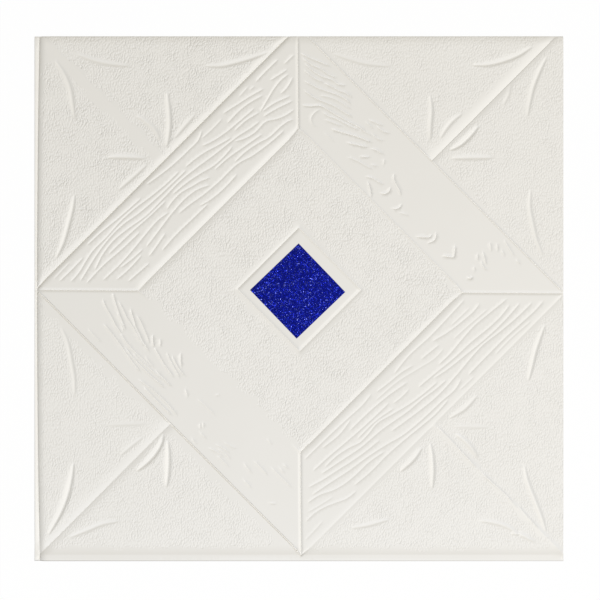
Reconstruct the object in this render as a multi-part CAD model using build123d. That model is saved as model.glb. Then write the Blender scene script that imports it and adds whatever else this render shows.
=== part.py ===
from build123d import *

import math
import os

# Embossed foam wall panel: one square of soft white foam with a pressed relief, and a glitter film on it.
# Millimetres. The panel lies on its back, z = 0, with the relief facing +Z.
# The relief is a diamond frame of four mitred planks. Outside the frame each corner of the panel holds two
# triangular cushions with pleats. Inside it an arched field runs down to a raised square in the middle.

# Blank, cut from the pressed sheet: the cut runs off the middle of the pattern, and through it at the top
PANEL_WIDTH = 700.0
PANEL_HEIGHT = 694.5
LEFT_BORDER = 5.2  # flat foam beside the pattern
RIGHT_BORDER = 2.8
FOOT_BORDER = 10.0

# Heights
SHEET = 2.8  # pressed foam under the grooves and in the borders
RISE = 3.2  # planks, cushions and field above the groove floor
MOAT = 1.5  # the field drops this far from its crest to the foot of the raised square
PAD_PROUD = 0.3  # the raised square stands this far above the field's crest

# Plan of the pattern
TIP_OVERRUN = 5.0  # the frame's tips would reach this far past the pattern's border, which trims them
PLANK_WIDTH = 97.0
PAD_SIDE = 116.2
GROOVE = 1.0  # flat floor between two raised forms

# Edge rolls: the way in from the foot of an edge to full height
PLANK_ROLL = 8.0
MITRE_ROLL = 3.4
CUSHION_ROLL = 24.0
BORDER_ROLL = 14.0
PAD_ROLL = 4.5

# Pleats: leaf-shaped folds pressed into the cushions, with sloping sides and a narrow floor
PLEAT_WIDTH = 8.0
PLEAT_DEPTH = 1.2
PLEAT_FLOOR_WIDTH = 2.4
PLEAT_END_SLOPE = 9.0  # the floor stops this far short of each end

# Pleat ends as (out along the panel's diagonal, along the plank) from the middle of a plank's outer edge
FAN_PLEAT = (13.0, 13.0), (62.0, 62.0)
CREASE_PLEAT = (25.0, 12.0), (75.0, 15.0)
CREASE_SAG = -2.0
# These ends are measured back from the sharp corner of the cushion instead
CORNER_PLEAT = (44.0, 12.0), (116.0, 49.0)
CORNER_SAG = 5.0

# Glitter film, laid by hand on the raised square
FILM = 0.3
FILM_MARGIN = 8.6  # bare foam between the film and the roll of the raised square's edge
FILM_SHIFT = -2.7, 1.3
FILM_TURN = -1.2  # degrees

# Making of the solids
RINGS = 5  # facets from the foot of an edge to its crest
LAP = 1.0  # raised forms reach this far into the sheet, and cutters this far out of it

# Worked out from the above
CREST = SHEET + RISE
PAD_TOP = CREST + PAD_PROUD
PATTERN_HALF = (PANEL_WIDTH - LEFT_BORDER - RIGHT_BORDER) / 2
CENTRE = Vector(
    LEFT_BORDER + PATTERN_HALF - PANEL_WIDTH / 2,
    FOOT_BORDER + PATTERN_HALF - PANEL_HEIGHT / 2,
)
FRAME_TIP = PATTERN_HALF + TIP_OVERRUN
FIELD_TIP = FRAME_TIP - PLANK_WIDTH * math.sqrt(2)
PAD_TIP = PAD_SIDE / math.sqrt(2)
FILM_SIDE = PAD_SIDE - GROOVE - 2 * (PAD_ROLL + FILM_MARGIN)


def diamond(tip):
    """Corners of a square that stands on a corner, counter-clockwise from the right."""
    return [Vector(tip, 0), Vector(0, tip), Vector(-tip, 0), Vector(0, -tip)]


def inset(corners, distances):
    """A convex counter-clockwise outline with each edge moved in by its own distance.

    An edge runs from its corner to the next. A negative distance moves it out.
    """
    moved = []
    for i, corner in enumerate(corners):
        run_in = (corner - corners[i - 1]).normalized()
        run_out = (corners[(i + 1) % len(corners)] - corner).normalized()
        normal_in = Vector(-run_in.Y, run_in.X)
        normal_out = Vector(-run_out.Y, run_out.X)
        lean = normal_in.dot(normal_out)
        move_in = normal_in * (distances[i - 1] - lean * distances[i])
        move_out = normal_out * (distances[i] - lean * distances[i - 1])
        moved.append(corner + (move_in + move_out) * (1 / (1 - lean**2)))
    return moved


def loop(corners, z):
    """A closed outline at a height, placed on the pattern's centre."""
    return Wire.make_polygon([CENTRE + corner + Vector(0, 0, z) for corner in corners])


def crowned(corners, rolls, low, high, power):
    """A raised form whose edges roll up from low to high, steepest at the foot and level at the crest."""
    foot = inset(corners, [GROOVE / 2] * len(corners))
    sections = [loop(foot, low - LAP)]
    for ring in range(RINGS + 1):
        share = ring / RINGS
        height = low + (high - low) * (1 - (1 - share) ** power)
        sections.append(loop(inset(foot, [roll * share for roll in rolls]), height))
    return Solid.make_loft(sections, ruled=True)


def planks():
    """Four mitred boards between the outer and the inner diamond, trimmed at the pattern's border."""
    outer = diamond(FRAME_TIP)
    inner = diamond(FIELD_TIP)
    border = Pos(CENTRE) * Box(2 * PATTERN_HALF, 2 * PATTERN_HALF, 2 * (CREST + LAP))
    for i in range(4):
        after = (i + 1) % 4
        corners = [outer[i], outer[after], inner[after], inner[i]]
        rolls = [PLANK_ROLL, MITRE_ROLL, PLANK_ROLL, MITRE_ROLL]
        yield crowned(corners, rolls, SHEET, CREST, power=2) & border


def cushions():
    """Two triangular cushions in each corner of the panel, with a crease between them."""
    rolls = [BORDER_ROLL, CUSHION_ROLL, CUSHION_ROLL]
    for quarter in range(4):
        corner = Vector(PATTERN_HALF, PATTERN_HALF)
        plank_middle = Vector(FRAME_TIP / 2, FRAME_TIP / 2)
        right_tip = Vector(PATTERN_HALF, TIP_OVERRUN)
        top_tip = Vector(TIP_OVERRUN, PATTERN_HALF)
        for outline in ([right_tip, corner, plank_middle], [corner, top_tip, plank_middle]):
            turned = [point.rotate(Axis.Z, 90 * quarter) for point in outline]
            yield crowned(turned, rolls, SHEET, CREST, power=3)


def field():
    """The arched ring inside the planks, which dips again to a moat round the raised square."""
    foot = diamond(PAD_TIP)
    half_width = (FIELD_TIP - PAD_TIP) / math.sqrt(2) / 2 - GROOVE
    arch = crowned(diamond(FIELD_TIP), [half_width] * 4, SHEET, CREST, power=4)
    sections = []
    for ring in range(RINGS + 1):
        share = ring / RINGS
        height = CREST - MOAT * (1 - share) ** 4
        sections.append(loop(inset(foot, [-half_width * share] * 4), height))
    sections.append(loop(inset(foot, [-half_width] * 4), CREST + LAP))
    return arch - Solid.make_loft(sections, ruled=True)


def pad():
    """The raised square in the middle, which carries the glitter film."""
    return crowned(diamond(PAD_TIP), [PAD_ROLL] * 4, CREST - MOAT, PAD_TOP, power=2)


def leaf(start, end, width, sag, z):
    """A leaf-shaped outline from start to end, bowed to the left of its run by sag."""
    run = (end - start).normalized()
    left = Vector(-run.Y, run.X)
    middle = (start + end) / 2
    place = CENTRE + Vector(0, 0, z)
    there = Edge.make_bezier(start + place, middle + left * (2 * sag + width) + place, end + place)
    back = Edge.make_bezier(end + place, middle + left * (2 * sag - width) + place, start + place)
    return Wire([there, back])


def pleat(start, end, sag):
    """A cutter for one pleat."""
    run = (end - start).normalized()
    floor_start = start + run * PLEAT_END_SLOPE
    floor_end = end - run * PLEAT_END_SLOPE
    floor_sag = sag * (floor_end - floor_start).length / (end - start).length
    sections = [
        leaf(start, end, PLEAT_WIDTH, sag, CREST + LAP),
        leaf(start, end, PLEAT_WIDTH, sag, CREST),
        leaf(floor_start, floor_end, PLEAT_FLOOR_WIDTH, floor_sag, CREST - PLEAT_DEPTH),
    ]
    return Solid.make_loft(sections, ruled=True)


def pleats():
    """Five pleats in each cushion: three fan out from the plank's middle and two lie in the sharp corners.

    A cushion is even about the line that halves its square corner, so a pleat beside that line has a twin.
    """
    plank_from_centre = FRAME_TIP / math.sqrt(2)
    reach = PATTERN_HALF * math.sqrt(2) - plank_from_centre
    in_corner = [(reach - back, along) for back, along in CORNER_PLEAT]
    pattern = [(FAN_PLEAT, 0.0)]
    for ends, sag in ((CREASE_PLEAT, CREASE_SAG), (in_corner, CORNER_SAG)):
        twin = [(along, out) for out, along in ends]
        pattern += [(ends, sag), (twin, -sag)]
    for quarter in range(4):
        for side in (1, -1):
            for ends, sag in pattern:
                places = [Vector(plank_from_centre + out, side * along) for out, along in ends]
                start, end = [place.rotate(Axis.Z, 45 + 90 * quarter) for place in places]
                yield pleat(start, end, side * sag)


def foam_panel():
    """The pressed sheet with its relief, cut to the panel's outline."""
    blank = Box(PANEL_WIDTH, PANEL_HEIGHT, SHEET, align=(Align.CENTER, Align.CENTER, Align.MIN))
    pressed = blank + [*planks(), *cushions(), field(), pad()] - list(pleats())
    cut = Box(PANEL_WIDTH, PANEL_HEIGHT, 2 * (PAD_TOP + LAP))
    return pressed & cut


def glitter_film():
    """A thin lozenge of film that lies on the raised square."""
    film = Box(FILM_SIDE, FILM_SIDE, FILM, align=(Align.CENTER, Align.CENTER, Align.MIN))
    seat = CENTRE + Vector(*FILM_SHIFT, PAD_TOP)
    return Pos(seat) * Rot(Z=45 + FILM_TURN) * film


os.makedirs("parts", exist_ok=True)
export_step(foam_panel(), "parts/foam_panel.step")
export_step(glitter_film(), "parts/glitter_film.step")
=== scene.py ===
import math

import bpy
import numpy as np
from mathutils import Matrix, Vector
from mathutils.geometry import delaunay_2d_cdt


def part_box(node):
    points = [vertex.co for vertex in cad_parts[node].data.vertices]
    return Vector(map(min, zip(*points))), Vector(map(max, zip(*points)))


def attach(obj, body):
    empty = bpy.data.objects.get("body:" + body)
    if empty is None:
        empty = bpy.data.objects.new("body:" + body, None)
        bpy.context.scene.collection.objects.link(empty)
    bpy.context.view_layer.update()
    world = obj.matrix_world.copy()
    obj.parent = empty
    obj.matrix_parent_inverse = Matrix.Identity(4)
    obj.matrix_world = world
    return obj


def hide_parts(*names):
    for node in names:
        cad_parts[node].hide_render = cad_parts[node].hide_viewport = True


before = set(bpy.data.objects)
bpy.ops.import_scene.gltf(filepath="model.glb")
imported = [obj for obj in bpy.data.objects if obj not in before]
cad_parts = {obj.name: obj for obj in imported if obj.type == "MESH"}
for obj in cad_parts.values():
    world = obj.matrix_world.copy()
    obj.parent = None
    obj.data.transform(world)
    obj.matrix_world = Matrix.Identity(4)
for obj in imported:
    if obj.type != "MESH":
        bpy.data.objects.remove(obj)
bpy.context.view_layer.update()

# A square of embossed wall foam, seen flat from the front: four wood-grain planks stand in a
# lozenge round a pebbled field, a raised pad with a glitter film on it is in the middle, and
# crowned cushions with leaf-shaped pleats fill the corners. Design sizes are in millimetres.

MM = 0.001
ROOT_TWO = math.sqrt(2)

FOAM_LOW, FOAM_HIGH = (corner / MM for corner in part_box("foam_panel"))
FILM_LOW, FILM_HIGH = (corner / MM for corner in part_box("glitter_film"))

# The sheet, the pattern that stands on it, and the borders that the cut left round it.
SHEET = 2.8
RISE = 3.2
CREST = SHEET + RISE
THINNEST = 1.2  # the face is nowhere lower than this before the lines are pressed in
LEFT_BORDER = 4.2
LEFT_BOW = 3.4
RIGHT_BORDER = 2.8
FOOT_BORDER = 10.0
FOOT_STRIP = 8.5
FLANGE_CURL = 0.12  # rise of the left flange for each millimetre towards the cut

# The bevel of the cut edge, wider along the foot, and how much painted shade darkens the bare cut: round the
# panel, and along the foot from left to right.
CUT_EDGE = 0.5
FOOT_CUT = 1.5
EDGE_SHADE = 0.4
FOOT_SHADE = (1.0, 0.55)

# The pattern is laid out round its own middle, which is a little above the panel's.
PATTERN_HALF = (FOAM_HIGH.x - FOAM_LOW.x - LEFT_BORDER - RIGHT_BORDER) / 2
MIDDLE_X = FOAM_LOW.x + LEFT_BORDER + PATTERN_HALF
MIDDLE_Y = FOAM_LOW.y + FOOT_BORDER + PATTERN_HALF
TOP_CUT = FOAM_HIGH.y - MIDDLE_Y
FOOT_LINE = FOAM_LOW.y + FOOT_STRIP - MIDDLE_Y
TIP_OVERRUN = 5.0
PLANK_WIDTH = 97.0
PAD_SIDE = 116.2
PAD_RAISED = 3.0
FRAME_REACH = (PATTERN_HALF + TIP_OVERRUN) / ROOT_TWO
FIELD_REACH = FRAME_REACH - PLANK_WIDTH
PAD_REACH = PAD_SIDE / 2
# The sheet left the roller pulled a little along its falling diagonal.
PULL = np.array(((0.998, -0.0065), (-0.0065, 0.998)))
SETTLED = np.linalg.inv(PULL)
# How far each side of the frame and of the field lies out of true, by corner from the top right
# anticlockwise.
FRAME_TRIM = (0.0, 0.0, -2.4, 0.0)
FIELD_TRIM = (3.1, 0.0, -1.8, -1.3)

# Where a form rolls down beside an edge: the roll's width and its fall. The press bit unevenly, so
# most go by corner, from the top right one anticlockwise.
PLANK_OUTER = ((3.5, 0.3), (6.8, 2.8), (3.5, 0.4), (6.6, 0.45))
PLANK_INNER = ((3.5, 0.3), (9.0, 2.3), (3.5, 0.0), (7.0, 2.3))
CUSHION_FOOT = ((3.5, 0.2), (10.0, 2.4), (4.0, 0.4), (9.0, 0.55))
CREASE_LIT = ((16.0, 2.0), (16.0, 0.3), (16.0, 1.8), (16.0, 1.0))
CREASE_LEE = ((8.5, 1.2), (6.0, 0.3), (10.0, 1.5), (6.0, 1.0))
CREASE_AT = (2.0, 0.0, 3.2, 1.8)  # how far a crease lies beside its corner's diagonal
FIELD_RIM = ((4.0, 0.2), (11.0, 2.0), (4.0, 0.0), (8.0, 1.05))
MITRE = (3.6, 1.5)
PAD_EDGE = (5.0, 1.7)
PAD_MOAT = (10.0, 0.9)
LEFT_RIM = (9.4, 3.4)
TOP_RIM = (12.0, 2.2)
# At the foot the face dips over the trough's width, and rises to a lip beside the flat strip.
TROUGH_WIDTH = 90.0
LIP = (13.0, 1.8)
FOOT_FADE = 4.0  # the grooves fade out over this much of the flat strip
ROUNDING = 1.6  # how softly two rolls meet
MIDDLE_BLEND = 24.0  # values of two corners blend over this width at the middle lines
ON_LINE = 0.02  # a point this near to an edge belongs to the form inside it

# Narrow seams along the edges of the frame, of the field and of the left border: their depths and
# half width.
OUTER_SEAM = (1.15, 0.7, 2.3, 0.1)
INNER_SEAM = (0.7, 0.3, 0.0, 0.4)
LEFT_SEAM = 1.2
SEAM_HALF = 1.5

# The pebbles keep off the edges: smooth strips beside the creases, on their lit and their lee side, then
# the rest. A strip below zero lets the pebbles run up to the edge.
SMOOTH_LIT = (8.0, 9.0, 2.0, -2.0)
SMOOTH_LEE = (-3.0, -5.0, -3.0, -3.0)
SMOOTH_FRAME = (-1.0, -1.0, 6.0, -1.0)
SMOOTH_FIELD = -2.0
SMOOTH_PAD = 0.0
SMOOTH_FOOT = 3.0
PEBBLE_FADE = 14.0

# Leaf-shaped pleats in the cushions.
PLEAT_HALF = 5.0
PLEAT_DEPTH = 1.7
PLEAT_LEAN = 0.45
LEAN_WAY = (-0.7071, 0.7071, 0.0)  # a pleat is wider on its top left side

# Wood grain pressed into the planks, and how hard each corner's plank was pressed.
GRAIN_HALF = 1.7
GRAIN_DEPTH = 0.85
GRAIN_BITE = (1.0, 1.1, 1.0, 0.8)
GRAIN_TAPER = 6.0
LINE_STEP = 2.2
PRESS_ABOVE = SHEET / 3  # the press moves only what is higher than this

# The pebbles are longer up the panel than across it, and each corner's cushions have their own depth.
PEBBLE = 2.0
PEBBLE_LONG = 1.6
PEBBLE_DEPTH = 0.66
PEBBLE_MIDDLE = 0.36  # mean of the pattern, so that the bump lies level
PEBBLE_BITE = (0.75, 1.1, 0.78, 0.75)
RAGGED = 16.0  # patches in which the pebbles are deep or shallow, and their ragged border
CLOUD = 90.0  # slow drift of the foam's tint

# Flakes of cut glitter. Real ones are well under a millimetre across, too fine to show, so these are
# drawn coarser.
FLAKE = 1.25
FLAKE_SIZES = (0.75, 1.1)
FLAKE_THICK = 0.06
FLAKE_GAP = 0.95
FLAKE_MARGIN = 0.8
FLAKE_TILT = 16  # degrees, each way
FLAKE_SPIN = 1.05  # radians, a sixth of a turn
FLAKE_DENSITY = 4e6  # for each square metre, before the gap thins them
FILM_TURN = -1.2  # degrees

# Rows of mesh points beside the edges, as distances from them, and the steps along the rows.
SEAM_ROWS = (SEAM_HALF / 2, SEAM_HALF, 3, 5)
MITRE_ROWS = (0.5, 1.1, 2.0, 3.2, 4.4)
CREASE_ROWS = (0.6, 1.5, 2.7, 4.2, 6, 8.5, 11.5)
PAD_ROWS = (0, -0.6, -1.4, -2.4, -3.6, -5, 1.5, 3.5, 6, 9)
LEFT_ROWS = (-1.5, -0.75, 0, 0.75, 1.5, 2.4, 3.6, 5, 7, 9.4)
FOOT_ROWS = (-1, 0, 1, 2.5, 4.5, 7, 10, 13)
TOP_ROWS = (1.2, 2.6, 4.4, 6.5, 9, 12)
FRAME_ROWS = (-8, 8, 13)
FIELD_ROWS = (8, -9)
GRAIN_ROWS = (0.5, 1)  # these two in half widths of the line
PLEAT_ROWS = (0.3, 0.6, 1.0, 1.5)
FINE_STEP = 2.2
SIDE_STEP = 2.6
WIDE_STEP = 4.0
UP_STEP = 3.0
ACROSS_STEP = 3.4
# Between the rows the points lie on lattices, closer on the planks and far apart on the back.
PLANK_STEP = 3.0
OPEN_STEP = 4.6
BACK_STEP = 45.0
LATTICE_HALF = 360.0
RIM_STEP = 3.5  # along the cut
RIM_CLEAR = 0.4  # the face's points keep this far inside its rim
BACK_CLEAR = 12.0  # and the back's this far
WELD = 1e-4  # points nearer than this are one
SHARP_ANGLE = 42  # degrees; an edge that turns more is shaded sharp

# The studio, in metres: each lamp's place, side, watts and colour, and where the camera stands.
LAMPS = (
    ("side_lamp", (5.2, -1.35, 9.0), 3.25, 636, "#FBF8F4"),
    ("foot_lamp", (0.0, -2.1, 2.75), 1.1, 34.8, "#DCE8FF"),
)
CAMERA_PLACE = (0.0016, -0.0018, 2.2104)
FLOOR_SIDE = 60
PAPER_GLOW = 0.95  # share of the floor's look that is plain white; the rest takes the shadow

# Grain lines drawn for each plank: (along the plank, out from the pattern's middle).
# The first number says how deep the line is pressed. The last three at the bottom right are the
# broken line in that corner's crease.
TOP_LEFT_GRAIN = (
    (1.0, (-215, 234), (-195, 233.5), (-170, 234)),
    (0.5, (-218, 241), (-205, 241.5), (-187, 242)),
    (1.0, (-205, 223), (-188, 224), (-172, 228), (-158, 231), (-130, 231.5), (-100, 233), (-75, 231.5),
     (-50, 228), (-25, 225.5), (0, 225)),
    (1.0, (-195, 214.5), (-175, 219.5), (-150, 225), (-100, 227.5), (-80, 224), (-45, 221), (-10, 220),
     (8, 219.5)),
    (1.0, (-171, 211.5), (-150, 218.5), (-127, 221.5), (-100, 219), (-75, 214.8), (-40, 214.5), (-10, 215),
     (20, 212), (50, 207.5), (72, 205), (90, 202.5), (105, 199), (122, 196.5)),
    (1.0, (-143, 213.5), (-100, 212.5), (-70, 210.5), (-40, 209.8)),
    (1.0, (-27, 209.5), (-5, 207.5), (20, 202.5), (38, 198), (55, 197), (74, 198.5)),
    (1.0, (-191, 207), (-158, 208), (-125, 205.7), (-93, 205)),
    (1.0, (-173, 194), (-140, 193.5), (-110, 195.5), (-85, 198), (-65, 199), (-48, 196.5)),
    (1.0, (-47, 201), (-32, 203.5), (-18, 203.3), (-2, 199), (10, 196), (24, 190)),
    (1.0, (-145, 189.5), (-125, 187), (-106, 186)),
    (1.0, (-160, 182), (-138, 180.5), (-113, 181.5)),
    (1.0, (-101, 185), (-75, 188.5), (-45, 192.5), (-15, 193.5), (0, 191), (16, 183.5)),
    (1.0, (-108, 173.5), (-95, 175.5), (-70, 180)),
    (1.0, (-151, 169.5), (-130, 168), (-113, 167)),
    (1.0, (-90, 166.8), (-65, 168.5), (-30, 168), (-3, 167.5)),
    (1.0, (-13, 173.5), (0, 169.8), (25, 167.2), (52, 168)),
    (1.0, (-40, 186), (-20, 184), (0, 180.5), (25, 178.2), (68, 176), (80, 172), (95, 169), (115, 166.5),
     (137, 165)),
    (1.0, (35, 193), (60, 191.5), (80, 188), (100, 184.5), (113, 182)),
    (1.0, (61, 181.8), (80, 181.2), (100, 177.5), (115, 173), (140, 171.5), (150, 169.5), (156, 166)),
    (1.0, (80, 201), (92, 194.5), (105, 190.8), (130, 189.5), (140, 183), (150, 178.5), (166, 175)),
    (1.0, (-43, 243), (-25, 240), (0, 237), (30, 236), (48, 236.5), (60, 242)),
    (1.0, (-155, 242), (-130, 241), (-100, 238), (-60, 235.5)),
    (0.7, (52, 234.5), (70, 233.5), (90, 234)),
    (1.0, (45, 227.5), (55, 223.5), (80, 217.8), (105, 215.5), (130, 213.5)),
    (1.0, (10, 223), (25, 221.8), (45, 218), (62, 212.8), (80, 208)),
    (1.0, (95, 238), (120, 232.5), (140, 228), (157, 223)),
    (1.0, (90, 225), (118, 225), (135, 222), (150, 217.5)),
    (0.6, (125, 238.5), (145, 239.5)),
    (0.6, (142, 235), (151, 234)),
    (1.0, (155, 237), (175, 237.5), (198, 237)),
    (1.0, (90, 211), (110, 210), (131, 205)),
    (1.0, (131, 204.5), (150, 209.5), (168, 213.8), (182, 215), (194, 213.5)),
    (1.0, (134, 203), (150, 200.5), (175, 191.5)),
    (1.0, (130, 197.5), (148, 193), (173, 184.5)),
    (1.0, (167, 202.5), (178, 202.3), (195, 206.5)),
    (1.0, (170, 225), (185, 221.5), (197, 219)),
    (0.8, (198, 227), (218, 226.5)),
)
BOTTOM_RIGHT_GRAIN = (
    (0.5, (-227, 238), (-208, 237.5), (-192, 236.5)),
    (0.9, (-209, 221), (-190, 222), (-180, 224.5), (-160, 233), (-150, 237.5), (-133, 240)),
    (0.5, (-199, 214), (-180, 219), (-160, 223.5)),
    (0.9, (-190, 205), (-170, 209.5), (-155, 217), (-140, 221.5), (-118, 224), (-95, 224.5), (-70, 229)),
    (0.9, (-130, 232.5), (-105, 235), (-70, 235), (-40, 237), (-10, 240), (10, 241.8), (38, 240.5)),
    (0.9, (-178, 202), (-150, 207.5), (-122, 213.5), (-90, 218.5), (-60, 225), (-40, 230.5), (-10, 234),
     (30, 235.5), (58, 236.5), (70, 233)),
    (0.9, (-175, 191.5), (-155, 197.5), (-130, 203), (-110, 207.5), (-90, 211), (-63, 214)),
    (0.9, (-45, 216.5), (-27, 219.5), (0, 223.5), (30, 226.5), (70, 225), (105, 222), (120, 221.5),
     (150, 225), (180, 227.5), (208, 228)),
    (0.9, (-150, 191), (-120, 197), (-90, 203), (-50, 206.5), (-30, 210), (-10, 213.5), (15, 215.5),
     (35, 218.5), (55, 220)),
    (0.9, (-140, 188), (-118, 188.7), (-98, 193), (-85, 197.5), (-70, 197.7), (-50, 196), (-30, 201),
     (0, 208.5), (20, 211.5), (45, 213.5)),
    (0.8, (-83, 192), (-48, 192.5), (-20, 197.5)),
    (0.9, (-155, 180.5), (-125, 182), (-95, 184.5), (-65, 186.5), (-20, 188)),
    (0.8, (-17, 192.5), (0, 194.3), (12, 194)),
    (0.9, (-83, 177), (-40, 178), (-10, 181), (17, 186)),
    (0.5, (-30, 173), (10, 176.5), (40, 183.5), (65, 189), (82, 188.5)),
    (0.5, (100, 188.5), (130, 190), (160, 192.5)),
    (0.9, (-125, 168), (-95, 171), (-72, 168)),
    (0.8, (-22, 166), (0, 169), (20, 171), (38, 175.5)),
    (0.8, (50, 177), (82, 180.5)),
    (0.9, (78, 171), (100, 176.5), (125, 180), (150, 181), (158, 179.5)),
    (0.8, (-152, 162), (-110, 162.5), (-70, 164), (-45, 165), (-28, 163)),
    (0.8, (12, 165.5), (40, 162.5), (80, 164), (120, 163), (147, 162)),
    (0.9, (22, 201), (52, 203.5), (80, 206.5), (115, 208), (145, 211), (165, 211.5), (185, 209)),
    (0.9, (45, 207), (65, 211), (100, 215), (130, 218), (165, 219), (196, 217)),
    (0.9, (62, 198.5), (82, 199), (105, 197), (130, 195.5), (160, 198), (188, 201)),
    (0.9, (80, 236), (115, 235.5), (150, 235.5), (180, 237), (205, 238), (220, 237)),
    (0.5, (125, 242), (150, 241.5), (190, 244)),
    (0.5, (58, 242), (85, 243)),
    (0.5, (110, 173.5), (145, 174.5)),
    (1.0, (3, 254), (2.9, 275), (2.1, 299.5), (0.5, 330)),
    (1.3, (0.5, 341), (2, 363), (3, 378), (3, 396)),
    (1.0, (4.5, 405), (3, 422), (2, 444)),
)
TOP_RIGHT_GRAIN = (
    (1.4, (-222, 224), (-206, 229.5), (-195, 234.5), (-182, 239.5)),
    (1.4, (-215, 221.5), (-200, 224), (-190, 228), (-178, 230), (-165, 234.5)),
    (1.4, (-208, 218.5), (-188, 220.5), (-179, 223), (-167, 229), (-158, 230.5), (-149, 236.5)),
    (1.4, (-172, 218.5), (-159, 223), (-149, 226), (-142, 229.5), (-132, 231)),
    (1.3, (-203, 212), (-187, 213.5), (-179, 216), (-172, 218.5)),
    (1.4, (-192, 202), (-173, 208), (-165, 211.5), (-157, 215.5), (-143, 222), (-136, 223.5), (-127, 223.5)),
    (0.9, (-164, 203), (-156, 208.5), (-148, 213), (-138, 216), (-122, 219)),
    (1.4, (-184, 193), (-168, 195.5), (-157, 199.5), (-142, 206), (-126, 210), (-113, 213)),
    (1.7, (-172, 177), (-164, 183), (-155, 193), (-135, 199), (-113, 205), (-98, 210), (-88, 212)),
    (1.4, (-146, 190), (-136, 192), (-129, 195.5), (-112, 201), (-95, 207)),
    (1.1, (-137, 185), (-127, 189.5), (-114, 195)),
    (1.9, (-122, 182.5), (-112, 187.5), (-97, 196), (-85, 202), (-72, 207)),
    (1.9, (-95, 184), (-83, 191.5), (-71, 199)),
    (1.6, (-70, 183), (-60, 191.5)),
    (1.4, (-67, 201), (-60, 204.5), (-49, 207.5)),
    (1.2, (-96, 226), (-88, 229), (-76, 234)),
    (1.2, (-83, 227.5), (-72, 228.5), (-63, 232.5)),
    (0.9, (-97, 221), (-84, 221.5)),
    (1.1, (-81, 216), (-70, 216.5), (-62, 220)),
    (0.8, (-94, 207.5), (-87, 211.5), (-77, 214)),
    (1.1, (-80, 171.5), (-71, 175.5), (-60, 179), (-46, 182.5)),
    (0.9, (-52, 186), (-44, 190.5)),
    (0.7, (-45, 204), (-39, 197)),
    (0.7, (-151, 190), (-153, 182), (-151, 173), (-146, 169.5), (-138, 170)),
    (0.6, (-126, 172), (-108, 172.5)),
    (1.4, (-46, 170), (-38, 174.5), (-28, 177), (-21, 179)),
    (1.4, (-22, 199), (-17, 194), (-7, 190), (0, 188), (5, 184.5)),
    (1.8, (-39, 167), (-28, 161), (-20, 155)),
    (1.8, (-17, 168), (-11, 172.5), (-10, 178.5), (-13, 183)),
    (1.8, (9, 165), (14, 169.5), (15, 174), (13.5, 178)),
    (1.8, (58, 161), (67, 169), (71, 173.5), (70, 178)),
    (1.4, (74, 165), (77, 170), (78, 176), (72, 184)),
    (1.8, (100, 167), (107, 172.5), (111.5, 176), (107, 184), (102, 189)),
    (1.9, (144, 171), (148, 172.5), (148, 176.5)),
    (1.3, (134, 209), (142, 204.5), (150, 200.5)),
    (1.1, (131, 202), (138, 196)),
    (1.1, (141, 199), (149, 195.5), (156, 195.5)),
    (1.0, (132, 224), (142, 217.5)),
    (1.0, (140, 230), (148, 223.5)),
    (1.0, (150, 228), (159, 225.5)),
    (0.9, (140, 187), (145, 183)),
    (0.9, (143, 240), (155, 237), (168, 234.5)),
    (0.8, (173, 233), (181, 232)),
    (0.8, (20, 167), (25, 171), (32, 173)),
)
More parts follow.
